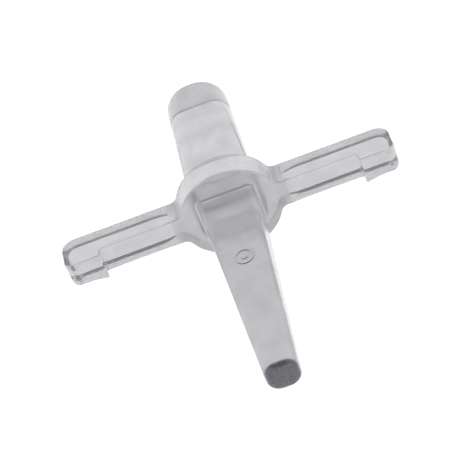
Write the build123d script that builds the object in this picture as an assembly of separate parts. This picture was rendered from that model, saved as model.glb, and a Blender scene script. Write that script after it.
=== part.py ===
from build123d import *
from math import atan2, degrees
import os

# A cross-shaped service key in clear smoke-grey plastic. Five mouldings: a hub plate with four
# short necks, and four arms that each plug into a neck with a square tenon.
# +X is the right side arm, -Y the tapered key arm, +Z up. All sizes are in millimetres.
# Lengths along Y are measured from the hub's front face, where the hub's outline is at its fullest.

# Hub plate and its necks
HUB_RADIUS = 9.5
PLATE_DEPTH = 5.3
DRAFT = 0.1
RIM_EDGE = 0.3
SIDE_NECK_REACH = 11.0
SIDE_NECK_FILLET = 1.5
MAIN_NECK_HEIGHT = 0.8
MAIN_NECK_FILLET = 0.55

# Side arms, each with a key bit that steps forward at its outer end
SIDE_REACH = 31.4
SIDE_HEIGHT = 5.8
BIT_LENGTH = 6.7
BIT_DEPTH = 1.9
BACK_CORNER = 2.6
FRONT_CORNER = 1.5
STEP_CORNER = 0.4
SIDE_EDGE = 0.3
LOW_OUTER_EDGE = 1.4
LOW_FRONT_EDGE = 0.5

# Tapered key arm at the front: width, height and corner radius of its two end sections
KEY_REACH = 42.2
KEY_ROOT = (10.6, 9.9, 1.0)
KEY_TIP = (5.9, 6.2, 2.4)
KEY_TIP_EDGE = 1.1

# Straight grip arm at the rear
GRIP_REACH = 33.0
GRIP_ROOT = (12.4, 13.4, 2.2)
GRIP_END = (12.1, 13.4, 5.0)
GRIP_CROWN_RADIUS = 14.0
GRIP_END_EDGE = 0.9

# Square tenons that join the arms to the hub
MAIN_TENON = 5.0
MAIN_TENON_DEPTH = 2.0
SIDE_TENON = 2.6
SIDE_TENON_DEPTH = 3.0

# Round mould mark on top of the key arm
MARK_DISTANCE = 16.8
MARK_RADIUS = 1.75
MARK_DOT_RADIUS = 0.6
MARK_LINE = 0.35
MARK_RELIEF = 0.12
MARK_ROOT = 0.3

# The row's origin is under the middle of the whole object
MIDDLE_Y = (GRIP_REACH - KEY_REACH) / 2
TO_ROW_ORIGIN = Location((0, -MIDDLE_Y, HUB_RADIUS))

DRAFT_ANGLE = degrees(atan2(DRAFT, PLATE_DEPTH))
KEY_JOINT = -MAIN_NECK_HEIGHT
GRIP_JOINT = PLATE_DEPTH + MAIN_NECK_HEIGHT
CLOSE = 0.01


def section(y, width, height, corner):
    """A rounded rectangle across the main axis, at distance y behind the hub's front face."""
    return Plane.XZ.offset(-y) * RectangleRounded(width, height, corner)


def main_tenon(joint, direction):
    """The square tenon of a main arm, from its joint plane into the hub."""
    middle = joint + direction * MAIN_TENON_DEPTH / 2
    return Pos(0, middle, 0) * Box(MAIN_TENON, MAIN_TENON_DEPTH, MAIN_TENON)


def side_tenon():
    """The square tenon of the right side arm, inside the hub's neck."""
    middle = SIDE_NECK_REACH - SIDE_TENON_DEPTH / 2
    return Pos(middle, PLATE_DEPTH / 2, 0) * Box(SIDE_TENON_DEPTH, SIDE_TENON, SIDE_TENON)


def plate_with_side_necks():
    """The round plate and its side necks, drafted towards the back, cut square at the joints."""
    outline = Circle(HUB_RADIUS) + Rectangle(2 * SIDE_REACH, SIDE_HEIGHT)
    inner_corners = outline.vertices().filter_by(lambda corner: abs(corner.X) < HUB_RADIUS)
    outline = fillet(inner_corners, SIDE_NECK_FILLET)
    plate = extrude(Plane.XZ * outline, -PLATE_DEPTH, taper=DRAFT_ANGLE)
    plate = fillet(plate.faces().sort_by(Axis.Y)[0].edges(), RIM_EDGE)
    plate = fillet(plate.faces().sort_by(Axis.Y)[-1].edges(), RIM_EDGE)
    return plate & Box(2 * SIDE_NECK_REACH, 4 * PLATE_DEPTH, 4 * HUB_RADIUS)


def with_main_neck(body, joint, size):
    """The hub with the short neck of one main arm added and its foot filleted."""
    foot = 0 if joint < 0 else PLATE_DEPTH
    width, height, _ = size
    body += extrude(section(foot, *size), foot - joint)
    at_foot = body.edges().filter_by(
        lambda edge: abs(edge.center().Y - foot) < CLOSE
        and abs(edge.center().X) < width / 2 + CLOSE
        and abs(edge.center().Z) < height / 2 + CLOSE
    )
    return fillet(at_foot, MAIN_NECK_FILLET)


def hub():
    """The plate with four necks and a mortise in each."""
    body = plate_with_side_necks()
    body = with_main_neck(body, KEY_JOINT, KEY_ROOT)
    body = with_main_neck(body, GRIP_JOINT, GRIP_ROOT)
    body -= main_tenon(KEY_JOINT, 1)
    body -= main_tenon(GRIP_JOINT, -1)
    body -= side_tenon()
    return body - mirror(side_tenon(), Plane.YZ)


def side_arm_plan():
    """The side arm's outline seen from above, with its key bit and rounded outer end."""
    inner, outer = SIDE_NECK_REACH, SIDE_REACH
    step = outer - BIT_LENGTH
    outline = make_face(Polyline(
        (inner, 0), (step, 0), (step, -BIT_DEPTH), (outer, -BIT_DEPTH),
        (outer, PLATE_DEPTH), (inner, PLATE_DEPTH), close=True,
    ))
    for corner, radius in (
        ((step, -BIT_DEPTH, 0), STEP_CORNER),
        ((outer, -BIT_DEPTH, 0), FRONT_CORNER),
        ((outer, PLATE_DEPTH, 0), BACK_CORNER),
    ):
        outline = fillet(outline.vertices().sort_by_distance(corner)[0], radius)
    return outline


def side_arm_section():
    """The side arm's outline across its length, drafted like the hub from the bit to the back."""
    slope = DRAFT / PLATE_DEPTH
    front = SIDE_HEIGHT / 2 + slope * BIT_DEPTH
    back = SIDE_HEIGHT / 2 - slope * PLATE_DEPTH
    return Plane.YZ * make_face(Polyline(
        (-BIT_DEPTH, -front), (PLATE_DEPTH, -back), (PLATE_DEPTH, back), (-BIT_DEPTH, front),
        close=True,
    ))


def outline_edges(body, side):
    """The edges round the top (side 1) or the bottom (side -1) of a side arm."""
    lowest = SIDE_HEIGHT / 2 - DRAFT - CLOSE
    return body.edges().filter_by(
        lambda edge: side * edge.center().Z > lowest
        and edge.center().X > SIDE_NECK_REACH + CLOSE
    )


def right_arm():
    """A side arm with its key bit and tenon. Its lower edge is well rounded from the back to the bit."""
    body = extrude(side_arm_section(), SIDE_REACH) & extrude(side_arm_plan(), SIDE_HEIGHT, both=True)
    body = fillet(outline_edges(body, 1), SIDE_EDGE)
    low_outer = outline_edges(body, -1).filter_by(lambda edge: edge.center().Y > PLATE_DEPTH / 2)
    body = fillet(low_outer, LOW_OUTER_EDGE)
    low_front = outline_edges(body, -1).filter_by(lambda edge: abs(edge.center().Y) < CLOSE)
    body = fillet(low_front, LOW_FRONT_EDGE)
    return body + side_tenon()


def mould_mark():
    """A raised ring with a dot in it, standing on the key arm's sloping top face."""
    slope = (KEY_ROOT[1] - KEY_TIP[1]) / 2 / (KEY_REACH + KEY_JOINT)
    top = KEY_ROOT[1] / 2 - slope * (MARK_DISTANCE + KEY_JOINT)
    face = Plane(origin=(0, -MARK_DISTANCE, top), x_dir=(1, 0, 0), z_dir=(0, -slope, 1))
    ring = Circle(MARK_RADIUS) - Circle(MARK_RADIUS - MARK_LINE) + Circle(MARK_DOT_RADIUS)
    return extrude(face.offset(-MARK_ROOT) * ring, MARK_ROOT + MARK_RELIEF)


def front_key():
    """The tapered key arm with its tenon and a ring-shaped mould mark on top."""
    body = loft([section(KEY_JOINT, *KEY_ROOT), section(-KEY_REACH, *KEY_TIP)])
    tip = body.faces().sort_by(Axis.Y)[0]
    body = fillet(tip.edges(), KEY_TIP_EDGE)
    return body + mould_mark() + main_tenon(KEY_JOINT, 1)


def rear_grip():
    """The straight grip arm with its tenon and a gently convex end."""
    width, height, _ = GRIP_ROOT
    body = loft([section(GRIP_JOINT, *GRIP_ROOT), section(GRIP_REACH, *GRIP_END)])
    crown = Pos(0, GRIP_REACH - GRIP_CROWN_RADIUS, 0) * Cylinder(GRIP_CROWN_RADIUS, 2 * height)
    root = Pos(0, GRIP_JOINT, 0) * Box(2 * width, 2 * GRIP_CROWN_RADIUS, 2 * height)
    body = body & (crown + root)
    end = body.faces().sort_by(Axis.Y)[-1]
    body = fillet(end.edges(), GRIP_END_EDGE)
    return body + main_tenon(GRIP_JOINT, -1)


def save(node, solid):
    export_step(TO_ROW_ORIGIN * solid, os.path.join("parts", node + ".step"))


os.makedirs("parts", exist_ok=True)
save("hub", hub())
save("front_key", front_key())
save("rear_grip", rear_grip())
save("right_arm", right_arm())
save("left_arm", mirror(right_arm(), Plane.YZ))
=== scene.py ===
import math

import bmesh
import bpy
from mathutils import Matrix, Vector


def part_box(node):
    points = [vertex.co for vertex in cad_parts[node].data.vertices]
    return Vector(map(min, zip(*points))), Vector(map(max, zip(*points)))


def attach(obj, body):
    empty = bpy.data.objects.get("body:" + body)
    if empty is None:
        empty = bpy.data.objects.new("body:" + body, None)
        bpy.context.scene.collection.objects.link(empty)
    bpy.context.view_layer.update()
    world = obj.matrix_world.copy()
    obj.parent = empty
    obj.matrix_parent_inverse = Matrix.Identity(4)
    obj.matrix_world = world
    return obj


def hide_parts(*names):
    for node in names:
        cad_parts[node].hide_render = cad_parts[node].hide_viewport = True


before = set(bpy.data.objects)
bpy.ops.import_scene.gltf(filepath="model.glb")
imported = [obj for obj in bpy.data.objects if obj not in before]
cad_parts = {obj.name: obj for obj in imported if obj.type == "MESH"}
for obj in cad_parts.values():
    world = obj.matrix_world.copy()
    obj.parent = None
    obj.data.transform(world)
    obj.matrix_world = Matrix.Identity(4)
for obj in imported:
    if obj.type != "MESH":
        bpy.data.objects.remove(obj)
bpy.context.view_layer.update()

MM = 0.001

# How finely curves are divided
ARC_STEPS = 8
EDGE_STEPS = 6
SIDE_STEPS = 8
LENGTH_STEPS = 24
CIRCLE_STEPS = 96
CROWN_STEPS = (0.85, 0.7, 0.55, 0.4, 0.25, 0.1)
TOUCH = 0.001 * MM
SAME_FACING = 0.9999

# Plastic: refraction, then noise scales per metre, depths, and tones. The tints, clarity and
# absorption of each piece are chosen by look, and so differ between pieces of one plastic: these
# differences are painted light and shade.
REFRACTION = 1.5
CLOUDS = 260
SPECKS = 1400
WEAR = 700
WAVES = 180
GRAIN = 2600
MOTTLE = 1300
SINK_DEPTH = 0.05 * MM
SKIN_DEPTH = 0.02 * MM
WORN_SHARE = (0.75, 1.3)
# How squarely a face must point along a piece's end direction to take the painted end shade, from none to
# full
END_FACING = (0.45, 0.70)
WHITE = (1, 1, 1)
SPECK_TONE = (0.72, 0.72, 0.75)
SMOKE = (0.2, 0.2, 0.3, 1)

# Floor, light and camera
FLOOR_SIZE = 3
FLOOR_GLOW = 1.1
DARK_UP = math.radians(48)
LIGHT_EDGE = (0.62, (1.3, 1.3, 1.32, 1))
DARK_EDGE = (0.86, (0.04, 0.04, 0.05, 1))
AZIMUTH = math.radians(3.12)
ELEVATION = math.radians(41.24)
ROLL = math.radians(22.22)
DISTANCE = 275 * MM
ASIDE = 0.578 * MM
BELOW = 3.982 * MM
SENSOR = 36
LENS = 117.02

# Places that the frame gives
hub_lo, hub_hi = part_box("hub")
arm_lo, arm_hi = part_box("right_arm")
key_lo, key_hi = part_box("front_key")
grip_lo, grip_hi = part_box("rear_grip")

# Shape of the mouldings, measured from the middle of the hub's front face
PLATE_DEPTH = 5.3 * MM
NECK_HEIGHT = (hub_hi.y - hub_lo.y - PLATE_DEPTH) / 2
MIDDLE = Vector((0, hub_lo.y + NECK_HEIGHT, (grip_lo.z + grip_hi.z) / 2))
HUB_RADIUS = 9.5 * MM
DRAFT = 0.1 / 5.3
RIM_EDGE = 0.3 * MM
NECK_FILLET = 0.55 * MM
SIDE_NECK_REACH = hub_hi.x
SIDE_NECK_FILLET = 1.5 * MM
BEYOND_NECK = 2 * MM
CLEARANCE = 0.01 * MM

SIDE_REACH = arm_hi.x
SIDE_HALF_HEIGHT = 2.9 * MM
SIDE_EDGE = 0.3 * MM
LOW_OUTER_EDGE = 1.4 * MM
LOW_FRONT_EDGE = 0.5 * MM
BIT_LENGTH = 6.7 * MM
BIT_DEPTH = 1.9 * MM
INNER_CORNER = 0.4 * MM
STEP_CORNER = 0.4 * MM
FRONT_CORNER = 1.5 * MM
BACK_CORNER = 2.6 * MM

KEY_JOINT = -NECK_HEIGHT
KEY_REACH = key_lo.y - MIDDLE.y
KEY_ROOT = (10.6 * MM, 9.9 * MM, 1.0 * MM)
KEY_TIP = (5.9 * MM, 6.2 * MM, 2.4 * MM)
KEY_TIP_EDGE = 1.1 * MM

GRIP_JOINT = PLATE_DEPTH + NECK_HEIGHT
GRIP_REACH = grip_hi.y - MIDDLE.y
GRIP_ROOT = (12.4 * MM, 13.4 * MM, 2.2 * MM)
GRIP_END = (12.1 * MM, 13.4 * MM, 5.0 * MM)
GRIP_END_EDGE = 0.9 * MM
GRIP_CROWN = 14.0 * MM

MAIN_TENON = (5.0 * MM, 2.0 * MM)
SIDE_TENON = (2.6 * MM, 3.0 * MM)

MARK_DISTANCE = 16.8 * MM
MARK_PATCH = 2.3 * MM
MARK_RELIEF = 0.12 * MM
# The mark's section: radius in mm, and height as a share of its relief, from the outside in
MARK_PROFILE = [(1.75, 0), (1.71, 0.5), (1.64, 1), (1.50, 1), (1.43, 0.5), (1.39, 0),
                (0.95, 0), (0.64, 0), (0.60, 0.5), (0.53, 1), (0.30, 1)]

UP = Vector((0, 0, 1))


# ---------------------------------------------------------------- outlines

def rounded_polygon(corners, side_steps=1):
    """Points and outward normals round an anticlockwise outline of (x, y, radius) corners."""
    arcs = []
    for i, (x, y, radius) in enumerate(corners):
        here = Vector((x, y))
        back = (Vector(corners[i - 1][:2]) - here).normalized()
        ahead = (Vector(corners[(i + 1) % len(corners)][:2]) - here).normalized()
        half = back.angle(ahead) / 2
        centre = here + (back + ahead).normalized() * radius / math.sin(half)
        start = (here + back * radius / math.tan(half) - centre).normalized()
        end = (here + ahead * radius / math.tan(half) - centre).normalized()
        convex = 1 if back.x * ahead.y - back.y * ahead.x < 0 else -1
        steps = [start.slerp(end, k / ARC_STEPS) for k in range(ARC_STEPS + 1)]
        arcs.append([(centre + out * radius, out * convex) for out in steps])
    outline = []
    for arc, following in zip(arcs, arcs[1:] + arcs[:1]):
        outline += arc
        start, end = arc[-1], following[0]
        for k in range(1, side_steps):
            outline.append((start[0].lerp(end[0], k / side_steps), start[1]))
    return outline


def rounded_rectangle(width, height, corner):
    x, z = width / 2, height / 2
    corners = [(x, -z, corner), (x, z, corner), (-x, z, corner), (-x, -z, corner)]
    return rounded_polygon(corners, SIDE_STEPS)


def rounded_edge(radius):
    """(inset, depth, sideways, facing) steps of a rounded edge, from the face to the wall."""
    steps = []
    for k in range(EDGE_STEPS + 1):
        across, along = math.sin(math.pi / 2 * k / EDGE_STEPS), math.cos(math.pi / 2 * k / EDGE_STEPS)
        steps.append((radius * (1 - across), radius * (1 - along), across, along))
    return steps


# ---------------------------------------------------------------- mesh helpers

def new_mesh():
    """A bmesh that keeps a smooth normal for each vertex, and marks the flat faces."""
    bm = bmesh.new()
    bm.verts.layers.float_vector.new("smooth")
    bm.faces.layers.int.new("flat")
    return bm


def skirt(bm, rings):
    """Quads between rings of (point, normal); returns the rings as vertices."""
    smooth = bm.verts.layers.float_vector["smooth"]
    rows = []
    for ring in rings:
        row = []
        for point, normal in ring:
            vert = bm.verts.new(point)
            vert[smooth] = normal
            row.append(vert)
        rows.append(row)
    for low, high in zip(rows, rows[1:]):
        for i in range(len(low)):
            bm.faces.new((low[i - 1], low[i], high[i], high[i - 1]))
    return rows


def ring_edges(bm, row):
    pairs = [(row[i - 1], row[i]) for i in range(len(row))]
    return [bm.edges.get(pair) or bm.edges.new(pair) for pair in pairs]


def fill(bm, edges):
    """Closes a flat region between one or more loops of edges."""
    made = bmesh.ops.triangle_fill(bm, use_beauty=True, use_dissolve=False, edges=edges)
    for item in made["geom"]:
        if isinstance(item, bmesh.types.BMFace):
            item[bm.faces.layers.int["flat"]] = 1


def square_joint(bm, axis, centre, direction, tenon, room=0):
    """Closes the open end across an axis with a flat face and the tenon or mortise in it."""
    size, depth = tenon
    half = size / 2 + room
    first, second = [i for i in range(3) if i != axis]
    rim = [edge for edge in bm.edges if edge.is_boundary
           and all(abs(vert.co[axis] - centre[axis]) < TOUCH for vert in edge.verts)]
    rings = []
    for level in (0, direction * (depth + room)):
        square = []
        for a, b in ((-1, -1), (1, -1), (1, 1), (-1, 1)):
            corner = Vector(centre)
            corner[axis] += level
            corner[first] += a * half
            corner[second] += b * half
            square.append((corner, UP))
        rings.append(square)
    before = set(bm.faces)
    mouth, end = skirt(bm, rings)
    bm.faces.new(end)
    fill(bm, rim + ring_edges(bm, mouth))
    for face in set(bm.faces) - before:
        face[bm.faces.layers.int["flat"]] = 1
        face.material_index = 1


def cut_away(bm, x, outward):
    """Cuts everything beyond a plane across X away, leaving an open end."""
    bmesh.ops.bisect_plane(
        bm, geom=bm.verts[:] + bm.edges[:] + bm.faces[:], dist=TOUCH / 10,
        plane_co=(x, 0, 0), plane_no=(outward, 0, 0), clear_outer=True)


def piece_from(bm, name, node, material):
    """Turns a closed mesh into a piece of the model that stands for one CAD node."""
    bmesh.ops.translate(bm, verts=bm.verts, vec=MIDDLE)
    bmesh.ops.recalc_face_normals(bm, faces=bm.faces)
    smooth = bm.verts.layers.float_vector["smooth"]
    flat = bm.faces.layers.int["flat"]
    normals = []
    for face in bm.faces:
        face.smooth = True
        for loop in face.loops:
            normals.append(face.normal if face[flat] else loop.vert[smooth].normalized())
    mesh = bpy.data.meshes.new(name)
    bm.to_mesh(mesh)
    bm.free()
    mesh.normals_split_custom_set([tuple(normal) for normal in normals])
    mesh.materials.append(material)
    mesh.materials.append(JOINT_FACE)
    piece = bpy.data.objects.new(name, mesh)
    bpy.context.collection.objects.link(piece)
    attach(piece, "root")
    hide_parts(node)
    return piece


# ---------------------------------------------------------------- the mouldings

def main_arm(root, end, joint, reach, edge, crown=None):
    """A lofted arm along Y: open at the hub joint, rounded and closed at its far end."""
    bm = new_mesh()
    side = math.copysign(1, reach)
    length = abs(reach - joint)
    axis = Vector((0, side, 0))

    def size_at(share):
        return [a + (b - a) * share for a, b in zip(root, end)]

    def drop(x):
        return crown - math.sqrt(crown * crown - x * x) if crown else 0

    def facing(x):
        return Vector((x / crown, side * math.sqrt(1 - (x / crown) ** 2), 0)) if crown else axis

    def wall_point(share, p):
        return Vector((p.x, joint + side * share * (length - edge - drop(p.x)), p.y))

    rings = []
    straight = (length - edge) / length
    near = rounded_rectangle(*size_at(0))
    far = rounded_rectangle(*size_at(straight))
    walls = []
    for (a, n), (b, _) in zip(near, far):
        run = (wall_point(1, b) - wall_point(0, a)).normalized()
        out = Vector((n.x, 0, n.y))
        walls.append((out - run * out.dot(run)).normalized())
    for k in range(LENGTH_STEPS + 1):
        share = k / LENGTH_STEPS
        outline = rounded_rectangle(*size_at(share * straight))
        rings.append([(wall_point(share, p), wall) for (p, _), wall in zip(outline, walls)])
    for inset, depth, across, along in reversed(rounded_edge(edge)[:-1]):
        outline = rounded_rectangle(*size_at(1 - depth / length))
        ring = []
        for (p, n), wall in zip(outline, walls):
            q = p - n * inset
            point = (q.x, reach - side * (depth + drop(q.x)), q.y)
            ring.append((point, wall * across + facing(q.x) * along))
        rings.append(ring)
    if crown:
        last = [point for point, _ in rings[-1]]
        for share in CROWN_STEPS:
            rings.append([((x * share, reach - side * drop(x * share), z * share), facing(x * share))
                          for x, _, z in last])
    rows = skirt(bm, rings)
    fill(bm, ring_edges(bm, rows[-1]))
    square_joint(bm, 1, (0, joint, 0), -side, MAIN_TENON)
    return bm


def add_mould_mark(bm):
    """Puts a raised ring and dot into the key arm's flat top face."""
    slope = (KEY_ROOT[1] - KEY_TIP[1]) / 2 / (KEY_JOINT - KEY_REACH)
    top = KEY_ROOT[1] / 2 - slope * (MARK_DISTANCE + KEY_JOINT)
    centre = Vector((0, -MARK_DISTANCE, top))
    normal = Vector((0, -slope, 1)).normalized()
    along = Vector((0, 1, slope)).normalized()
    under = [face for face in bm.faces
             if face.normal.dot(normal) > SAME_FACING
             and (face.calc_center_median() - centre).length < MARK_PATCH]
    inside = {edge for face in under for edge in face.edges}
    bmesh.ops.delete(bm, geom=under, context="FACES")
    rim = [edge for edge in inside if edge.is_valid and edge.is_boundary]
    rings = []
    for i, (radius, height) in enumerate(MARK_PROFILE):
        before = MARK_PROFILE[max(i - 1, 0)]
        after = MARK_PROFILE[min(i + 1, len(MARK_PROFILE) - 1)]
        run, rise = (before[0] - after[0]) * MM, (after[1] - before[1]) * MARK_RELIEF
        ring = []
        for k in range(CIRCLE_STEPS):
            angle = 2 * math.pi * k / CIRCLE_STEPS
            out = Vector((math.cos(angle), 0, 0)) + along * math.sin(angle)
            point = centre + out * radius * MM + normal * height * MARK_RELIEF
            ring.append((point, (normal * run + out * rise).normalized()))
        rings.append(ring)
    rows = skirt(bm, rings)
    fill(bm, rim + ring_edges(bm, rows[0]))
    fill(bm, ring_edges(bm, rows[-1]))


def key_arm():
    """The tapered key arm with the mould mark on its top face."""
    bm = main_arm(KEY_ROOT, KEY_TIP, KEY_JOINT, KEY_REACH, KEY_TIP_EDGE)
    bmesh.ops.recalc_face_normals(bm, faces=bm.faces)
    add_mould_mark(bm)
    return bm


def low_edge(p):
    """Radius of a side arm's lower edge, which fades out at the hub and beside the bit's step."""
    from_step = p.x - (SIDE_REACH - BIT_LENGTH)
    from_neck = min(max((p.x - SIDE_NECK_REACH) / BEYOND_NECK, 0), 1)
    if p.y > PLATE_DEPTH / 2:
        full, share = LOW_OUTER_EDGE, from_neck
    elif from_step > 0:
        full, share = LOW_OUTER_EDGE, min(from_step / (2 * LOW_OUTER_EDGE), 1)
    else:
        full, share = LOW_FRONT_EDGE, min(-from_step / (2 * LOW_OUTER_EDGE), from_neck)
    return SIDE_EDGE + (full - SIDE_EDGE) * share


def side_arm(side):
    """A side arm with its key bit, built up from its plan outline."""
    inner, outer = SIDE_NECK_REACH - BEYOND_NECK, SIDE_REACH
    step = outer - BIT_LENGTH
    blunt = 0.01 * MM
    outline = rounded_polygon([
        (inner, 0, blunt), (step, 0, INNER_CORNER), (step, -BIT_DEPTH, STEP_CORNER),
        (outer, -BIT_DEPTH, FRONT_CORNER), (outer, PLATE_DEPTH, BACK_CORNER), (inner, PLATE_DEPTH, blunt),
    ], 2 * SIDE_STEPS)
    bm = new_mesh()
    rings = []
    for k in range(EDGE_STEPS + 1):
        ring = []
        for p, n in outline:
            radius = low_edge(p)
            inset, depth, across, along = rounded_edge(radius)[k]
            q = p - n * inset
            point = (q.x, q.y, depth - SIDE_HALF_HEIGHT + DRAFT * q.y)
            ring.append((point, n.to_3d() * across - UP * along))
        rings.append(ring)
    for inset, depth, across, along in reversed(rounded_edge(SIDE_EDGE)):
        ring = []
        for p, n in outline:
            q = p - n * inset
            point = (q.x, q.y, SIDE_HALF_HEIGHT - DRAFT * q.y - depth)
            ring.append((point, n.to_3d() * across + UP * along))
        rings.append(ring)
    rows = skirt(bm, rings)
    fill(bm, ring_edges(bm, rows[0]))
    fill(bm, ring_edges(bm, rows[-1]))
    cut_away(bm, SIDE_NECK_REACH, -1)
    square_joint(bm, 0, (SIDE_NECK_REACH, PLATE_DEPTH / 2, 0), -1, SIDE_TENON)
    if side < 0:
        smooth = bm.verts.layers.float_vector["smooth"]
        for vert in bm.verts:
            vert.co.x = -vert.co.x
            x, y, z = vert[smooth]
            vert[smooth] = (-x, y, z)
    return bm


def hub_outline():
    """The round plate with its two side necks, as points and outward normals."""
    fillet_height = SIDE_HALF_HEIGHT + SIDE_NECK_FILLET
    fillet_reach = math.sqrt((HUB_RADIUS + SIDE_NECK_FILLET) ** 2 - fillet_height ** 2)
    meet = math.atan2(fillet_height, fillet_reach)
    end = SIDE_NECK_REACH + BEYOND_NECK
    quarter = [(Vector((end, SIDE_HALF_HEIGHT)), Vector((0, 1)))]
    for k in range(ARC_STEPS + 1):
        angle = -math.pi / 2 - (math.pi / 2 - meet) * k / ARC_STEPS
        out = Vector((math.cos(angle), math.sin(angle)))
        quarter.append((Vector((fillet_reach, fillet_height)) + out * SIDE_NECK_FILLET, -out))
    top = []
    for k in range(1, CIRCLE_STEPS):
        angle = meet + (math.pi - 2 * meet) * k / CIRCLE_STEPS
        out = Vector((math.cos(angle), math.sin(angle)))
        top.append((out * HUB_RADIUS, out))
    mirrored = [(Vector((-p.x, p.y)), Vector((-n.x, n.y))) for p, n in reversed(quarter)]
    upper = quarter + top + mirrored
    return upper + [(-p, -n) for p, n in upper]


def neck_rings(size, foot, direction):
    """A main neck's rings, from its filleted foot on the plate to its joint plane."""
    outline = rounded_rectangle(*size)
    axis = Vector((0, direction, 0))
    rings = []
    straight = [(0, NECK_HEIGHT - CLEARANCE, 1, 0)]
    for outset, height, across, along in rounded_edge(NECK_FILLET) + straight:
        ring = []
        for p, n in outline:
            q = p + n * outset
            out = Vector((n.x, 0, n.y))
            ring.append(((q.x, foot + direction * height, q.y), out * across + axis * along))
        rings.append(ring)
    return rings


def hub():
    """The hub plate with four short necks and a square mortise in each."""
    bm = new_mesh()
    outline = hub_outline()
    steps = rounded_edge(RIM_EDGE)
    levels = [(inset, depth, across, -along) for inset, depth, across, along in steps]
    levels += [(inset, PLATE_DEPTH - depth, across, along)
               for inset, depth, across, along in reversed(steps)]
    rings = []
    for inset, y, across, along in levels:
        ring = []
        for p, n in outline:
            q = p - n * (inset + DRAFT * y)
            ring.append(((q.x, y, q.y), Vector((n.x * across, along, n.y * across))))
        rings.append(ring)
    plate = skirt(bm, rings)
    key_neck = skirt(bm, neck_rings(KEY_ROOT, 0, -1))
    grip_neck = skirt(bm, neck_rings(GRIP_ROOT, PLATE_DEPTH, 1))
    fill(bm, ring_edges(bm, plate[0]) + ring_edges(bm, key_neck[0]))
    fill(bm, ring_edges(bm, plate[-1]) + ring_edges(bm, grip_neck[0]))
    square_joint(bm, 1, (0, KEY_JOINT + CLEARANCE, 0), 1, MAIN_TENON, CLEARANCE)
    square_joint(bm, 1, (0, GRIP_JOINT - CLEARANCE, 0), -1, MAIN_TENON, CLEARANCE)
    for side in (1, -1):
        end = side * (SIDE_NECK_REACH - CLEARANCE)
        cut_away(bm, end, side)
        square_joint(bm, 0, (end, PLATE_DEPTH / 2, 0), -side, SIDE_TENON, CLEARANCE)
    return bm


# ---------------------------------------------------------------- materials

def joint_face():
    """Light passes straight through where two mouldings touch."""
    mat = bpy.data.materials.new("joint_face")
    mat.use_nodes = True
    nodes = mat.node_tree.nodes
    nodes.remove(nodes["Principled BSDF"])
    through = nodes.new("ShaderNodeBsdfTransparent")
    mat.node_tree.links.new(through.outputs[0], nodes["Material Output"].inputs["Surface"])
    return mat


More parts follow.
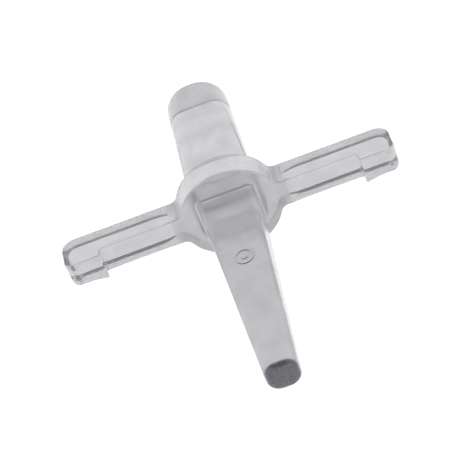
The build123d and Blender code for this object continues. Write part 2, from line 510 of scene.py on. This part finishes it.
def plastic(name, light, dark, clear, rough, absorbed, grain, end=None):
    """Milky smoke-grey plastic: cloudy colour, uneven gloss, and a faint moulded grain.

    end is a direction and a tone: faces that point that way get a painted shade, their colour multiplied
    by that tone with a mottle, and have more grain.
    """
    mat = bpy.data.materials.new(name)
    mat.use_nodes = True
    nodes, links = mat.node_tree.nodes, mat.node_tree.links
    shell = nodes["Principled BSDF"]
    shell.inputs["Transmission Weight"].default_value = clear
    shell.inputs["IOR"].default_value = REFRACTION
    place = nodes.new("ShaderNodeTexCoord").outputs["Object"]

    def noise(scale, detail):
        made = nodes.new("ShaderNodeTexNoise")
        made.inputs["Scale"].default_value = scale
        made.inputs["Detail"].default_value = detail
        links.new(place, made.inputs["Vector"])
        return made.outputs["Fac"]

    def ramp(value, *stops):
        made = nodes.new("ShaderNodeValToRGB")
        for element, (position, colour) in zip(made.color_ramp.elements, stops):
            element.position = position
            element.color = (*colour, 1)
        links.new(value, made.inputs[0])
        return made.outputs["Color"]

    clouds = ramp(noise(CLOUDS, 4), (0.38, dark), (0.62, light))
    specks = ramp(noise(SPECKS, 2), (0.70, WHITE), (0.76, SPECK_TONE))
    colour = nodes.new("ShaderNodeMix")
    colour.data_type = "RGBA"
    colour.blend_type = "MULTIPLY"
    colour.inputs["Factor"].default_value = 1
    links.new(clouds, colour.inputs["A"])
    links.new(specks, colour.inputs["B"])
    surface = colour.outputs["Result"]
    skin = nodes.new("ShaderNodeBump")
    skin.inputs["Strength"].default_value = grain
    skin.inputs["Distance"].default_value = SKIN_DEPTH
    # Painted shade: faces that point along the end direction have their colour multiplied by a mottled
    # dark tone, and take a stronger grain.
    if end:
        direction, shade_tone = end
        facing = nodes.new("ShaderNodeVectorMath")
        facing.operation = "DOT_PRODUCT"
        facing.inputs[1].default_value = direction.normalized()
        links.new(nodes.new("ShaderNodeTexCoord").outputs["Normal"], facing.inputs[0])
        end_shade_and_grain = nodes.new("ShaderNodeMapRange")
        end_shade_and_grain.inputs["From Min"].default_value = END_FACING[0]
        end_shade_and_grain.inputs["From Max"].default_value = END_FACING[1]
        links.new(facing.outputs["Value"], end_shade_and_grain.inputs["Value"])
        shade = nodes.new("ShaderNodeMix")
        shade.data_type = "RGBA"
        shade.blend_type = "MULTIPLY"
        darker, lighter = [[share * c for c in shade_tone] for share in (0.8, 1.15)]
        mottled_shade = ramp(noise(MOTTLE, 3), (0.36, darker), (0.64, lighter))
        links.new(end_shade_and_grain.outputs["Result"], shade.inputs["Factor"])
        links.new(surface, shade.inputs["A"])
        links.new(mottled_shade, shade.inputs["B"])
        surface = shade.outputs["Result"]
        rougher = nodes.new("ShaderNodeMapRange")
        rougher.inputs["To Min"].default_value = grain
        links.new(end_shade_and_grain.outputs["Result"], rougher.inputs["Value"])
        links.new(rougher.outputs["Result"], skin.inputs["Strength"])
    links.new(surface, shell.inputs["Base Color"])
    gloss = nodes.new("ShaderNodeMapRange")
    gloss.inputs["From Min"].default_value = 0.35
    gloss.inputs["From Max"].default_value = 0.65
    gloss.inputs["To Min"].default_value = rough * WORN_SHARE[0]
    gloss.inputs["To Max"].default_value = rough * WORN_SHARE[1]
    links.new(noise(WEAR, 5), gloss.inputs["Value"])
    links.new(gloss.outputs["Result"], shell.inputs["Roughness"])
    sink = nodes.new("ShaderNodeBump")
    sink.inputs["Strength"].default_value = 0.5
    sink.inputs["Distance"].default_value = SINK_DEPTH
    links.new(noise(WAVES, 1), sink.inputs["Height"])
    links.new(noise(GRAIN, 3), skin.inputs["Height"])
    links.new(sink.outputs["Normal"], skin.inputs["Normal"])
    links.new(skin.outputs["Normal"], shell.inputs["Normal"])
    volume = nodes.new("ShaderNodeVolumeAbsorption")
    volume.inputs["Color"].default_value = SMOKE
    volume.inputs["Density"].default_value = absorbed
    links.new(volume.outputs[0], nodes["Material Output"].inputs["Volume"])
    return mat


# ---------------------------------------------------------------- floor, light and camera

def floor():
    bpy.ops.mesh.primitive_plane_add(size=FLOOR_SIZE, location=(0, 0, hub_lo.z - CLEARANCE))
    plane = bpy.context.object
    plane.name = "floor"
    mat = bpy.data.materials.new("floor")
    mat.use_nodes = True
    paper = mat.node_tree.nodes["Principled BSDF"]
    paper.inputs["Base Color"].default_value = (0.1, 0.1, 0.1, 1)
    paper.inputs["Roughness"].default_value = 0.9
    paper.inputs["Emission Color"].default_value = (1, 1, 1, 1)
    paper.inputs["Emission Strength"].default_value = FLOOR_GLOW
    plane.data.materials.append(mat)


def studio_light():
    """White light from all round, and a dark patch in front that shows as lines in the plastic."""
    world = bpy.data.worlds.new("studio")
    bpy.context.scene.world = world
    world.use_nodes = True
    nodes, links = world.node_tree.nodes, world.node_tree.links
    towards_dark = nodes.new("ShaderNodeVectorMath")
    towards_dark.operation = "DOT_PRODUCT"
    towards_dark.inputs[1].default_value = (0, -math.cos(DARK_UP), math.sin(DARK_UP))
    light = nodes.new("ShaderNodeValToRGB")
    bright, dark = light.color_ramp.elements
    bright.position, bright.color = LIGHT_EDGE
    dark.position, dark.color = DARK_EDGE
    links.new(nodes.new("ShaderNodeTexCoord").outputs["Generated"], towards_dark.inputs[0])
    links.new(towards_dark.outputs["Value"], light.inputs[0])
    links.new(light.outputs["Color"], nodes["Background"].inputs["Color"])


def camera():
    """Looks from the front and above, a little from the right, and rolled to the right."""
    back = Vector((math.sin(AZIMUTH) * math.cos(ELEVATION),
                   -math.cos(AZIMUTH) * math.cos(ELEVATION), math.sin(ELEVATION)))
    level = Vector((math.cos(AZIMUTH), math.sin(AZIMUTH), 0))
    upright = back.cross(level)
    right = level * math.cos(ROLL) - upright * math.sin(ROLL)
    up = level * math.sin(ROLL) + upright * math.cos(ROLL)
    view = bpy.data.objects.new("camera", bpy.data.cameras.new("camera"))
    bpy.context.collection.objects.link(view)
    place = Matrix((right, up, back)).transposed().to_4x4()
    place.translation = MIDDLE + back * DISTANCE + right * ASIDE - up * BELOW
    view.matrix_world = place
    view.data.sensor_width = SENSOR
    view.data.lens = LENS
    view.data.clip_start = 10 * MM
    bpy.context.scene.camera = view


JOINT_FACE = joint_face()
# Four copies of one plastic whose tints, clarity and absorption differ as painted light and shade: the
# hub is made lighter and the key darker than the same plastic would be.
arm_plastic = plastic("arm_plastic", (0.64, 0.64, 0.65), (0.57, 0.57, 0.588), 0.83, 0.12, 7, 0.2)
hub_plastic = plastic("hub_plastic", (0.73, 0.73, 0.74), (0.66, 0.66, 0.675), 0.52, 0.17, 4, 0.2)
# The key's tip face is painted dark, a painted shade for the little light that comes back along the long
# key; the direction tilts up so the top rounding is darker and the lower rounding is left lighter as a
# painted highlight.
key_plastic = plastic("key_plastic", (0.69, 0.69, 0.70), (0.62, 0.62, 0.635), 0.52, 0.18, 23, 0.1,
                      (Vector((0, -1, 0.25)), (0.27, 0.265, 0.30)))
# The grip's rear end face is mottled like a rough face and toned a little darker, a painted shade for the
# shadowed floor seen in it.
grip_plastic = plastic("grip_plastic", (0.69, 0.69, 0.70), (0.59, 0.59, 0.607), 0.76, 0.10, 6, 0.3,
                       (Vector((0, 1, 0)), (0.82, 0.82, 0.85)))

piece_from(hub(), "hub_moulding", "hub", hub_plastic)
piece_from(key_arm(), "key_moulding", "front_key", key_plastic)
piece_from(main_arm(GRIP_ROOT, GRIP_END, GRIP_JOINT, GRIP_REACH, GRIP_END_EDGE, GRIP_CROWN),
           "grip_moulding", "rear_grip", grip_plastic)
piece_from(side_arm(1), "right_arm_moulding", "right_arm", arm_plastic)
piece_from(side_arm(-1), "left_arm_moulding", "left_arm", arm_plastic)

floor()
studio_light()
camera()
bpy.context.scene.view_settings.view_transform = "Standard"
